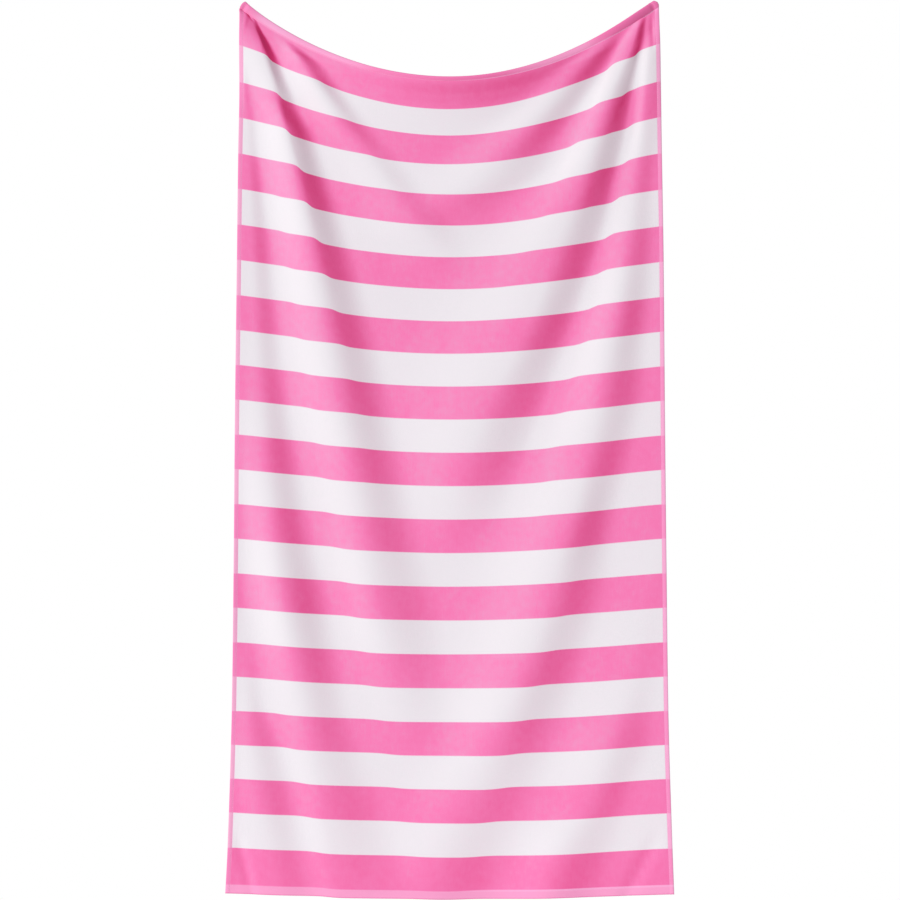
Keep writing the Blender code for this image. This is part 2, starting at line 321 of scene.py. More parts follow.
JOGS = {
    "main_left": (
        Jog(10, -336, 0, 4, 20),
        Jog(70, -308, 7, 4, 40),
        Jog(130, -289, 8, 5, 50),
        Jog(190, -274, 9, 5, 60),
        Jog(250, -254, 9, 6, 64),
        Jog(310, -239, 9, 6, 70),
        Jog(430, -208, 7, 8, 80),
        Jog(550, -179, 4, 9, 80),
        Jog(700, -145, 2, 12, 80),
        Jog(850, -125, 0, 12, 80),
    ),
    "left_trough": (
        Jog(250, -302, 0, 8, 40),
        Jog(310, -293, 2, 8, 50),
        Jog(430, -272, 3, 8, 50),
        Jog(550, -255, 3, 10, 50),
        Jog(790, -212, 3, 12, 60),
        Jog(1030, -162, 3, 14, 60),
        Jog(1270, -105, 3, 18, 70),
        Jog(1524, -45, 1, 20, 70),
    ),
    "lower_left": (
        Jog(1150, -308, 0, 10, 50),
        Jog(1270, -270, 3, 12, 50),
        Jog(1450, -223, 3, 14, 60),
        Jog(1524, -205, 2, 14, 60),
    ),
    "swag_left": (
        Jog(20, -262, 0, 8, 40),
        Jog(70, -218, 3, 8, 50),
        Jog(130, -169, 2, 9, 50),
        Jog(190, -128, 3, 10, 50),
        Jog(300, -66, 0, 10, 50),
    ),
    "swag_right": (
        Jog(14, 302, 0, 5, 40),
        Jog(70, 273, -7, 6, 40),
        Jog(130, 248, -5, 7, 44),
        Jog(190, 212, -5, 8, 50),
        Jog(250, 190, -3, 10, 50),
        Jog(430, 95, -1, 12, 60),
        Jog(500, 60, 0, 12, 60),
    ),
    "main_right": (
        Jog(20, 334, 0, 4, 16),
        Jog(70, 318, -6, 4, 32),
        Jog(130, 298, -5, 5, 34),
        Jog(190, 269, -2, 6, 34),
        Jog(250, 248, -3, 8, 34),
        Jog(370, 215, 0, 8, 34),
    ),
    "outer_right": (
        Jog(110, 322, 0, 6, 40),
        Jog(190, 307, -5, 6, 44),
        Jog(250, 300, -5, 6, 50),
        Jog(310, 284, -7, 6, 54),
        Jog(430, 258, -6, 8, 60),
        Jog(550, 228, -5, 9, 70),
        Jog(670, 192, -3, 10, 70),
        Jog(790, 166, -2, 12, 70),
        Jog(900, 145, 0, 12, 70),
    ),
    "lower_right": (
        Jog(880, 240, 0, 14, 70),
        Jog(970, 213, -2, 14, 70),
        Jog(1090, 171, -3, 14, 70),
        Jog(1210, 128, -3, 16, 70),
        Jog(1330, 88, -4, 20, 70),
        Jog(1524, 25, -1, 20, 70),
    ),
}

CREASES = (
    Crease(0, -344, 13, -356, 2.4, -3.0),
    Crease(9, -345, 14, -332, 2.2, -1.8),
    Crease(8, -344, 40, -349, 3.0, 0.7),
    Crease(95, -349, 175, -347, 5.0, 1.0),
    Crease(10, 344, 80, 346, 4.0, -1.3),
    Crease(0, 340, 11, 352, 2.4, -2.2),
    Crease(200, -358, 1850, -386, 14.0, 2.4),
    Crease(1425, -362, 1560, -325, 9.0, -2.0),
    Crease(1420, 359, 1560, 281, 11.0, -2.4),
)

# The light column is pale weave and painted light, and painted shade below nought.
TOP_HEM = (
    TopHem(-1.0, 0.1, 0),
    TopHem(-0.95, 0.35, 0),
    TopHem(-0.9, 0.9, -1),
    TopHem(-0.84, 1, -1),
    TopHem(-0.72, 0.8, -1),
    TopHem(-0.58, 0.8, -1),
    TopHem(-0.46, 0.6, 0),
    TopHem(-0.33, 0.15, 1),
    TopHem(0.2, 0, 1),
    TopHem(0.34, 0.3, 0),
    TopHem(0.48, 0.6, -1),
    TopHem(0.62, 0.7, -1),
    TopHem(0.73, 0.1, 2),
    TopHem(0.83, -0.2, 4),
    TopHem(0.93, -0.45, 6),
    TopHem(1.0, -0.2, 2),
)

SIDE_HEM = (
    Hem(0, 1.3),
    Hem(0.7, 1.65),
    Hem(2.2, 1.8),
    Hem(4.6, 1.75),
    Hem(6.0, 1.6),
    Hem(7.0, 1.42),
    Hem(8.0, 1.46),
    Hem(9.0, 1.5),
)

END_HEM = (
    Hem(0, 1.1),
    Hem(0.7, 1.7),
    Hem(2.4, 2.0),
    Hem(6.0, 2.0),
    Hem(9.0, 1.9),
    Hem(10.2, 1.6),
    Hem(11.0, 1.4),
    Hem(12.0, 1.42),
    Hem(14.0, 1.5),
)


def through(rows: Sequence[NamedTuple], down: np.ndarray) -> np.ndarray:
    """Work out a table's rows at any place along it, on smooth curves through them.

    Args:
        rows: The table, whose first column is the distance down or another place.
        down: Places to work the rows out at.

    Returns:
        One row of the table's other columns for each place.
    """
    table = np.array(rows, dtype=float)
    spans = np.diff(table[:, 0])[:, None]
    chords = np.diff(table[:, 1:], axis=0) / spans
    slopes = np.vstack([chords[:1], chords[:-1], chords[-1:]])
    turning = chords[:-1] * chords[1:] <= 0
    both = np.where(turning, 1.0, chords[:-1] + chords[1:])
    slopes[1:-1] = np.where(turning, 0.0, 2 * chords[:-1] * chords[1:] / both)
    index = np.clip(np.searchsorted(table[:, 0], down) - 1, 0, len(spans) - 1)
    span = spans[index]
    part = (down[:, None] - table[index, :1]) / span
    start = table[index, 1:]
    end = table[index + 1, 1:]
    value = start * (1 + 2 * part) * (1 - part) ** 2 + end * part**2 * (3 - 2 * part)
    value += slopes[index] * span * part * (1 - part) ** 2
    return value - slopes[index + 1] * span * part**2 * (1 - part)


def outwards(points: np.ndarray) -> np.ndarray:
    """Find the directions that face the front at each point of a grid.

    Args:
        points: The grid's points, as rows by columns by three.

    Returns:
        The directions, of unit length.
    """
    along = np.gradient(points, axis=1)
    up = -np.gradient(points, axis=0)
    facing = np.cross(along, up)
    return facing / np.linalg.norm(facing, axis=-1, keepdims=True)


def nearest(rows: Sequence[Hem], inwards: float) -> int:
    """Find which station of a hem is nearest to a distance from its edge."""
    return min(range(len(rows)), key=lambda index: abs(rows[index].inwards - inwards))


@dataclass
class Drape:
    """The middle surface of the hanging cloth, worked out from its levels, folds and creases.

    grip_drop is how far the gripped points lie below the corners' tips. left_fade is how soon a
    fold's left flank dies out, right_reach how far its right one reaches, in widths of it,
    jog_lift how much of a jog's drop lifts the stripes on both sides of it, crease_ends how
    sharply a crease dies out at its ends, and roll_depth how far down the top hem's roll reaches.
    """

    length: float = FLAT_LENGTH
    grip_drop: float = 8.0
    left_fade: float = 2.2
    right_reach: float = 1.15
    jog_lift: float = 0.4
    crease_ends: float = 0.7
    roll_depth: float = 9.5
    folds: tuple = (MAIN_LEFT, MAIN_RIGHT, *OTHER_FOLDS.values())

    def along(self, rows: Sequence[NamedTuple], down: np.ndarray) -> tuple:
        """Work out a table along the cloth.

        Args:
            rows: The table of the levels, of a fold or of a line of jogs.
            down: Distance down the cloth of each row of points.

        Returns:
            1 for the rows of points that the table reaches and 0 for others, then its columns.
        """
        inside = (down >= rows[0].down) & (down <= rows[-1].down)
        values = through(rows, np.clip(down, rows[0].down, rows[-1].down))
        return inside[:, None], *(column[:, None] for column in values.T)

    def fold(self, rows: Sequence[Crest], down: np.ndarray, x: np.ndarray) -> np.ndarray:
        """Work out how far one fold stands forward at each point.

        Args:
            rows: The fold's crest.
            down: Distance down the cloth of each row of points.
            x: Place across of each point.

        Returns:
            How far the fold stands forward.
        """
        inside, across, height, left, right, power = self.along(rows, down)
        gentle = np.exp(-self.left_fade * ((across - x) / left) ** 2)
        reach = np.clip((x - across) / (self.right_reach * right), 0, 1)
        steep = np.cos(0.5 * np.pi * reach) ** power
        return inside * height * np.where(x < across, gentle, steep)

    def jog(self, rows: Sequence[Jog], down: np.ndarray, x: np.ndarray) -> np.ndarray:
        """Work out how far one line of jogs lifts the stripes at each point.

        Args:
            rows: The line of jogs.
            down: Distance down the cloth of each row of points.
            x: Place across of each point.

        Returns:
            How far the stripes are lifted.
        """
        inside, across, drop, soft, reach = self.along(rows, down)
        aside = x - across
        fade = np.exp(-((aside / reach) ** 2))
        lift = self.jog_lift * np.abs(drop) - drop * np.tanh(aside / soft)
        return inside * 0.5 * lift * fade

    def crease(self, crease: Crease, down: np.ndarray, x: np.ndarray) -> np.ndarray:
        """Work out how far one crease stands forward.

        Args:
            crease: The crease's two ends, width and height.
            down: Distance down the cloth of each row of points.
            x: Place across of each point.

        Returns:
            How far the crease stands forward at each point.
        """
        run = np.array([crease.to_down - crease.down, crease.to_across - crease.across])
        reach = float(np.hypot(*run))
        along_down, along_across = run / reach
        from_down = down[:, None] - crease.down
        from_across = x - crease.across
        along = (from_down * along_down + from_across * along_across) / reach
        aside = (from_across * along_down - from_down * along_across) / crease.width
        ends = np.sin(np.pi * np.clip(along, 0, 1)) ** self.crease_ends
        return crease.height * ends * np.exp(-(aside**2))

    def roll(self, down: np.ndarray, turn: np.ndarray) -> np.ndarray:
        """Work out how far the top hem rolls forward off the line it is sewn along.

        Args:
            down: Distance down the cloth of each row of points.
            turn: Place across of each point, from -1 to 1.

        Returns:
            How far the hem stands forward at each point.
        """
        near = np.clip(1 - down[:, None] / self.roll_depth, 0, 1)
        _, roll = through(TOP_HEM, turn.ravel()).T
        return near * roll.reshape(turn.shape)

    def surface(self, down: np.ndarray, x: np.ndarray) -> np.ndarray:
        """Work out the hanging cloth's middle surface.

        Args:
            down: Distance down the cloth of each row of points.
            x: Place across of each point, a row for each distance.

        Returns:
            The points' places in millimetres, as rows by columns by three.
        """
        _, left, right, side, middle, lean, bowl, skew, tilt = self.along(LEVELS, down)
        turn = np.clip(2 * (x - left) / (right - left) - 1, -1, 1)
        plain = 1 - turn**2
        sag = plain ** (bowl + skew * turn)
        z = self.grip_drop - side - (middle - side) * sag - tilt * 0.5 * (1 + turn)
        forward = lean * plain**2 + self.roll(down, turn)
        for rows in self.folds:
            forward += self.fold(rows, down, x)
        for rows in JOGS.values():
            z += self.jog(rows, down, x)
        for crease in CREASES:
            forward += self.crease(crease, down, x)
        return np.stack([x, -forward, z], axis=-1)


def plug(tree: bpy.types.NodeTree, node: bpy.types.Node, sockets: dict) -> None:
    """Set a node's input sockets or link them.

    Args:
        tree: The node tree.
        node: The node.
        sockets: The value, wire or output socket for each input socket, by name or number.
    """
    for name, value in sockets.items():
        source = value.socket if isinstance(value, Wire) else value
        if isinstance(source, bpy.types.NodeSocket):
            tree.links.new(source, node.inputs[name])
        else:
            node.inputs[name].default_value = source


def add_node(
    tree: bpy.types.NodeTree,
    kind: str,
    settings: Union[dict, None] = None,
    sockets: Union[dict, None] = None,
) -> bpy.types.Node:
    """Add a node to a tree.

    Args:
        tree: The node tree.
        kind: The node's type.
        settings: Its settings, which are set first.
        sockets: What its input sockets take, by name or number.

    Returns:
        The node.
    """
    node = tree.nodes.new(kind)
    for name, value in (settings or {}).items():
        setattr(node, name, value)
    plug(tree, node, sockets or {})
    return node


class Wire:
    """A number inside a material's node tree, which Python's operators work on."""

    def __init__(self, tree: bpy.types.NodeTree, socket: bpy.types.NodeSocket) -> None:
        """Hold a socket of a tree.

        Args:
            tree: The node tree.
            socket: The output socket that carries the number.
        """
        self.tree = tree
        self.socket = socket

    def maths(self, operation: str, *values: Any, clamp: bool = False) -> "Wire":
        """Add one Math node.

        Args:
            operation: The node's operation.
            *values: The numbers or wires that it takes, in order.
            clamp: Whether its result is kept from 0 to 1.

        Returns:
            The node's result.
        """
        settings = {"operation": operation, "use_clamp": clamp}
        node = add_node(self.tree, "ShaderNodeMath", settings, dict(enumerate(values)))
        return Wire(self.tree, node.outputs[0])

    def __add__(self, other: Any) -> "Wire":
        """Add."""
        return self.maths("ADD", self, other)

    def __sub__(self, other: Any) -> "Wire":
        """Take away."""
        return self.maths("SUBTRACT", self, other)

    def __rsub__(self, other: Any) -> "Wire":
        """Take this away from a number."""
        return self.maths("SUBTRACT", other, self)

    def __mul__(self, other: Any) -> "Wire":
        """Multiply."""
        return self.maths("MULTIPLY", self, other)

    __radd__ = __add__
    __rmul__ = __mul__

    def __truediv__(self, other: Any) -> "Wire":
        """Divide."""
        return self.maths("DIVIDE", self, other)

    def clamped(self) -> "Wire":
        """Keep the number from 0 to 1."""
        return self.maths("ADD", self, 0.0, clamp=True)

    def sine(self) -> "Wire":
        """Take the sine."""
        return self.maths("SINE", self)

    def smaller(self, other: Any) -> "Wire":
        """Take the smaller of two numbers."""
        return self.maths("MINIMUM", self, other)

    def past(self, edge: float, soft: float = 1.0) -> "Wire":
        """Make a mask that rises from 0 to 1 across an edge.

        Args:
            edge: The number at which the mask is a half.
            soft: How far the rise takes.

        Returns:
            The mask.
        """
        return ((self - edge) / soft + 0.5).clamped()


@dataclass(frozen=True)
class Spot:
    """Where a point lies on the flat cloth, in millimetres.

    across and down are its place, from_side its distance from the nearest long edge, and
    from_end that from the nearest end, as in an end hem of middling width.
    """

    across: Wire
    down: Wire
    from_side: Wire
    from_end: Wire


class Finish:
    """A material and its node tree, to which a finish adds nodes."""

    def __init__(self, name: str) -> None:
        """Start a material that holds one Principled shader.

        Args:
            name: The material's name.
        """
        self.material = bpy.data.materials.new(name)
        self.material.use_nodes = True
        self.tree = self.material.node_tree
        self.tree.nodes.clear()
        self.shader = self.node("ShaderNodeBsdfPrincipled")
        self.node("ShaderNodeOutputMaterial", sockets={"Surface": self.shader.outputs["BSDF"]})

    def node(
        self, kind: str, settings: Union[dict, None] = None, sockets: Union[dict, None] = None
    ) -> bpy.types.Node:
        """Add a node, as add_node does."""
        return add_node(self.tree, kind, settings, sockets)

    def dress(self, sockets: dict) -> bpy.types.Material:
        """Give the shader what its sockets take, by name, and return the material."""
        plug(self.tree, self.shader, sockets)
        return self.material

    def wire(self, node: bpy.types.Node, output: Union[int, str] = 0) -> Wire:
        """Take one output of a node as a number."""
        return Wire(self.tree, node.outputs[output])

    def attribute(self, name: str) -> Wire:
        """Take one of the mesh's attributes as a number."""
        return self.wire(self.node("ShaderNodeAttribute", {"attribute_name": name}), "Fac")

    def mix(self, mask: Wire, low: Any, high: Any) -> bpy.types.NodeSocket:
        """Mix two colours.

        Args:
            mask: How much of the second colour shows.
            low: The colour where the mask is 0.
            high: The colour where the mask is 1.

        Returns:
            The mixed colour.
        """
        # A Mix node's colours are its inputs 6 and 7 and its output 2.
        low, high = ((*c, 1.0) if isinstance(c, tuple) else c for c in (low, high))
        node = self.node("ShaderNodeMix", {"data_type": "RGBA"}, {0: mask, 6: low, 7: high})
        return node.outputs[2]

    def noise(self, kind: Noise, spot: Spot) -> Wire:
        """Make soft lumps over the cloth.

        Args:
            kind: Which unevenness.
            spot: Where the point lies on the cloth.

        Returns:
            The lumps' height, around a half.
        """
        grain = kind.value
        across = spot.across * grain.fineness
        down = spot.down * (grain.fineness / grain.stretch)
        place = self.node("ShaderNodeCombineXYZ", sockets={0: across, 1: down})
        lumps = self.node(
            "ShaderNodeTexNoise",
            sockets={"Vector": place.outputs[0], "Scale": 1.0, "Detail": grain.detail},
        )
        return self.wire(lumps)


@dataclass(frozen=True)
class StripedVelour:
    """Finish of the cloth: sheared cotton pile in two colours of crosswise stripes.

    stripe and top_band are the widths of a stripe and of the pink band at the top, and pink_ends
    is how near an end no stripe is white. The painted light is nought where the cloth faces
    straight forward. Below nought it is painted shade, which deepens each dye's tone, and above
    nought it is painted light, which pales it. sways are how much each unevenness changes it, and
    bottom_darkening is how much it is lowered near the bottom, which makes the cloth darker there.
    A field that ends in cover is how much of the colours under it a dye hides, and one that ends
    in soft is how far the edge of a mask takes. glow is how far the pale weave and painted light
    of the top hem reach, and a painted highlight grows along its seam around seam_right_from
    across.
    The side hem at the right is lightened by painted light, and the rims of the ends are darkened
    by painted shade. The loops are counted for each millimetre, and rib is half the way from one
    rib of the hems to the next.
    """

    width: float = FLAT_WIDTH
    length: float = FLAT_LENGTH
    stripe: float = 60.0
    top_band: float = 71.0
    pink_ends: float = 33.0
    edge_soft: float = 1.5
    edge_wander: float = 1.4
    # Lit and shaded tones of each dye: painted shade below nought, painted light above.
    pink_tones_by_light: tuple = (
        (-0.60, (0.84, 0.048, 0.220)),
        (-0.25, (0.92, 0.130, 0.370)),
        (0.00, (0.94, 0.212, 0.483)),
        (0.25, (0.83, 0.380, 0.605)),
    )
    white_tones_by_light: tuple = (
        (-0.60, (0.87, 0.72, 0.80)),
        (-0.25, (0.88, 0.770, 0.842)),
        (0.00, (0.85, 0.80, 0.85)),
        (0.25, (0.83, 0.80, 0.83)),
    )
    sways: tuple = (
        (Noise.NAP, 0.14),
        (Noise.TUFT, 0.14),
        (Noise.PILE, 0.10),
        (Noise.YARN, 0.08),
    )
    # The cloth is made darker towards the bottom.
    darkening_from: float = 1380.0
    darkening_over: float = 300.0
    bottom_darkening: float = 0.08

    side_hem: float = 7.7
    side_soft: float = 0.8
    side_cover: float = 0.6
    side_pink: Colour = (0.94, 0.285, 0.565)
    side_pale: Colour = (0.91, 0.42, 0.64)
    # Painted light on the right side hem.
    side_painted_light: Colour = (1.0, 0.42, 0.70)
    right_light_cover: float = 0.45

    end_hem: float = 11.0
    end_soft: float = 1.2
    end_cover: float = 0.8
    hem_deep: Colour = (0.94, 0.21, 0.475)
    # Pale pink of the flat-woven end hems, which along the top hem also carries painted light.
    hem_weave_and_painted_light: Colour = (0.98, 0.45, 0.71)
    # Painted shade for the rolled right end of the top hem.
    hem_shade: Colour = (0.64, 0.105, 0.29)
    glow: float = 10.0
    glow_soft: float = 6.0
    glow_cover: float = 0.95
    seam_start: float = 9.5
    seam_end: float = 12.0
    seam_soft: float = 0.8
    # Painted highlight along the seams, strongest at the top hem's right.
    seam_highlight: Colour = (0.98, 0.44, 0.71)
    seam_right_from: float = 426.72
    seam_right_over: float = 76.2
    seam_right_cover: float = 0.7
    seam_bottom_cover: float = 0.1
    # Painted shade along the rims of the ends.
    rim: float = 1.2
    rim_soft: float = 0.8
    rim_cover: float = 0.35

    loops_across: float = 0.62
    loops_down: float = 0.5
    pile_height: float = 0.9
    yarn_height: float = 0.35
    rib: float = 0.9
    rib_height: float = 0.25
    bump: float = 0.55
    bump_depth: float = 0.5
    roughness: float = 0.95
    specular: float = 0.15
    sheen: float = 0.06
    sheen_roughness: float = 0.55
    sheen_tint: Colour = (1.0, 0.8, 0.9)

    def spot(self, finish: Finish) -> Spot:
        """Find where a point lies on the flat cloth.

        Args:
            finish: The material's nodes.

        Returns:
            The point's place and its distances from the edges.
        """
        flat = finish.node("ShaderNodeUVMap", {"uv_map": "cloth"})
        shares = finish.node("ShaderNodeSeparateXYZ", sockets={0: flat.outputs[0]})
        across = finish.wire(shares, 0) * self.width
        down = finish.wire(shares, 1) * self.length
        from_side = across.smaller(self.width - across)
        from_end = (down / TOP_SHARE).smaller((self.length - down) / BOTTOM_SHARE)
        return Spot(across, down, from_side, from_end)

    def white_stripes(self, finish: Finish, spot: Spot) -> Wire:
        """Make the mask of the white stripes, with the pile straying over their edges.

        Args:
            finish: The material's nodes.
            spot: Where the point lies on the cloth.

        Returns:
            A mask that is 1 in the white stripes.
        """
        wander = (finish.noise(Noise.STRIPE_EDGE, spot) - 0.5) * self.edge_wander
        turn = (spot.down + wander - self.top_band) * (math.pi / self.stripe)
        bands = (turn.sine() * (self.stripe / math.pi / self.edge_soft) + 0.5).clamped()
        return bands * spot.from_end.past(self.pink_ends)

    def painted_light_and_mottle(self, finish: Finish, spot: Spot, grains: dict) -> Wire:
        """Work out the painted light and shade of the folds, with random unevenness, darker near
        the bottom.

        Args:
            finish: The material's nodes.
            spot: Where the point lies on the cloth.
            grains: The height of each kind of unevenness.

        Returns:
            The painted light and shade, with their unevenness.
        """
        # Darker towards the bottom.
        darkening = spot.down.past(self.darkening_from, self.darkening_over) * self.bottom_darkening
        # The nap attribute is painted light and shade.
        painted_light_and_mottle = finish.attribute("painted_light") - darkening
        for kind, sway in self.sways:
            painted_light_and_mottle = painted_light_and_mottle + (grains[kind] - 0.5) * sway
        return painted_light_and_mottle

    def painted_tone(self, finish: Finish, painted_light_and_mottle: Wire, tones: tuple) -> Any:
        """Pick a dye's lit or shaded tone by the painted light: painted light and painted shade.

        Args:
            finish: The material's nodes.
            painted_light_and_mottle: The painted light and shade, with their unevenness.
            tones: The dye's lit and shaded tones and the painted light of each, in rising order.

        Returns:
            The colour.
        """
        colour = tones[0][1]
        for (low, _), (high, tone) in zip(tones[:-1], tones[1:]):
            share = ((painted_light_and_mottle - low) / (high - low)).clamped()
            colour = finish.mix(share, colour, tone)
        return colour

    def dye_sides(
        self, finish: Finish, spot: Spot, hem: Wire, stripes: Wire, colour: Any
    ) -> bpy.types.NodeSocket:
        """Dye the side hems, which hide white pile fully, with painted light on the right one.

        Args:
            finish: The material's nodes.
            spot: Where the point lies on the cloth.
            hem: The mask of the side hems.
            stripes: The mask of the white stripes.
            colour: The pile's colour.

        Returns:
            The colour with the side hems in it.
        """
        at_right = spot.across.past(self.width / 2)
        dye = finish.mix(stripes, self.side_pink, self.side_pale)
        # Painted light on the right side hem.
        dye = finish.mix(at_right * self.right_light_cover, dye, self.side_painted_light)
        cover = stripes * (1 - self.side_cover) + self.side_cover
        return finish.mix(hem * cover, colour, dye)

    def dye_ends(
        self, finish: Finish, spot: Spot, hem: Wire, colour: Any
    ) -> bpy.types.NodeSocket:
        """Dye the end hems: their pale weave with painted light and painted shade along the top
        hem, a painted highlight along their seams, and painted shade along their rims.

        Args:
            finish: The material's nodes.
            spot: Where the point lies on the cloth.
            hem: The mask of the end hems.
            colour: The colour with the side hems in it.

        Returns:
            The colour with all hems in it.
        """
        # The top hem's pale weave and painted light, or its painted shade below nought.
        light = finish.attribute("hem")
        at_bottom = spot.down.past(self.length / 2)
        at_right = spot.across.past(self.seam_right_from, self.seam_right_over)
        fading = 1 - spot.from_end.past(self.glow, self.glow_soft)
        glow = fading * (1 - at_bottom) + hem * at_bottom
        seam_start = spot.from_end.past(self.seam_start, self.seam_soft)
        seam = seam_start * (1 - spot.from_end.past(self.seam_end, self.seam_soft))
        seam_cover = at_right * self.seam_right_cover + at_bottom * self.seam_bottom_cover
        rim = 1 - spot.from_end.past(self.rim, self.rim_soft)
        rim_cover = (at_bottom + 1) * self.rim_cover
        colour = finish.mix(hem * self.end_cover, colour, self.hem_deep)
        # Pale weave, and painted light along the top hem.
        colour = finish.mix((glow * light * self.glow_cover).clamped(), colour, self.hem_weave_and_painted_light)
        # Painted shade where the top hem rolls at its right end.
        colour = finish.mix((hem * light * -1.0).clamped(), colour, self.hem_shade)
        # Painted highlight along the seams.
        colour = finish.mix(seam * seam_cover, colour, self.seam_highlight)
        # Painted shade along the rims of the ends.
        return finish.mix(rim * rim_cover, colour, self.hem_deep)

    def relief(self, finish: Finish, spot: Spot, grains: dict, hem: Wire) -> Wire:
        """Make the cloth's relief: cut pile in front, loops behind and ribs in its hems.

        Args:
            finish: The material's nodes.
            spot: Where the point lies on the cloth.
            grains: The height of each kind of unevenness.
            hem: The mask of all hems.

        Returns:
            The relief's height.
        """
        sockets = {0: spot.across * self.loops_across, 1: spot.down * self.loops_down}
        place = finish.node("ShaderNodeCombineXYZ", sockets=sockets).outputs[0]
        cells = finish.node("ShaderNodeTexVoronoi", sockets={"Vector": place, "Scale": 1.0})
        looped = 1 - finish.wire(cells)
        cut = grains[Noise.PILE] * self.pile_height + grains[Noise.YARN] * self.yarn_height
        behind = finish.attribute("back")
        pile = cut * (1 - behind) + looped * behind
        ribs = (spot.down * (math.pi / self.rib)).sine() * 0.5 + 0.5
        return pile * (1 - hem) + ribs * hem * self.rib_height

    def build(self) -> bpy.types.Material:
        """Build the material.

        Returns:
            The finished material.
        """
        finish = Finish("striped_velour")
        spot = self.spot(finish)
        grains = {kind: finish.noise(kind, spot) for kind, _ in self.sways}
        painted_light_and_mottle = self.painted_light_and_mottle(finish, spot, grains)
        stripes = self.white_stripes(finish, spot)
        side_hem = 1 - spot.from_side.past(self.side_hem, self.side_soft)
        end_hem = 1 - spot.from_end.past(self.end_hem, self.end_soft)
        # Lit and shaded tones of the dyes: painted light and painted shade.
        pink = self.painted_tone(finish, painted_light_and_mottle, self.pink_tones_by_light)
        white = self.painted_tone(finish, painted_light_and_mottle, self.white_tones_by_light)
        colour = finish.mix(stripes, pink, white)
        colour = self.dye_sides(finish, spot, side_hem, stripes, colour)
        colour = self.dye_ends(finish, spot, end_hem, colour)
        hem = 1 - (1 - side_hem) * (1 - end_hem)
        sockets = {
            "Strength": self.bump,
            "Distance": self.bump_depth * MM,
            "Height": self.relief(finish, spot, grains, hem),
        }
        return finish.dress(
            {
                "Base Color": colour,
                "Normal": finish.node("ShaderNodeBump", sockets=sockets).outputs[0],
                "Roughness": self.roughness,
                "Specular IOR Level": self.specular,
                "Sheen Weight": self.sheen,
                "Sheen Roughness": self.sheen_roughness,
                "Sheen Tint": (*self.sheen_tint, 1.0),
            }
        )


@dataclass(frozen=True)
class CottonThread:
    """Finish of the sewing thread: spun cotton with a faint lustre."""

    dark: Colour = (0.95, 0.36, 0.64)
    light: Colour = (1.0, 0.56, 0.79)
    ply: float = 2600.0
    ply_detail: float = 1.0
    roughness: float = 0.7
    specular: float = 0.3

    def build(self) -> bpy.types.Material:
        """Build the material.

        Returns:
            The finished material.
        """
        finish = Finish("pink_thread")
        place = finish.node("ShaderNodeTexCoord").outputs["Object"]
        sockets = {"Vector": place, "Scale": self.ply, "Detail": self.ply_detail}
        fibres = finish.wire(finish.node("ShaderNodeTexNoise", sockets=sockets))
        return finish.dress(
            {
                "Base Color": finish.mix(fibres, self.dark, self.light),
                "Roughness": self.roughness,
                "Specular IOR Level": self.specular,
            }
        )


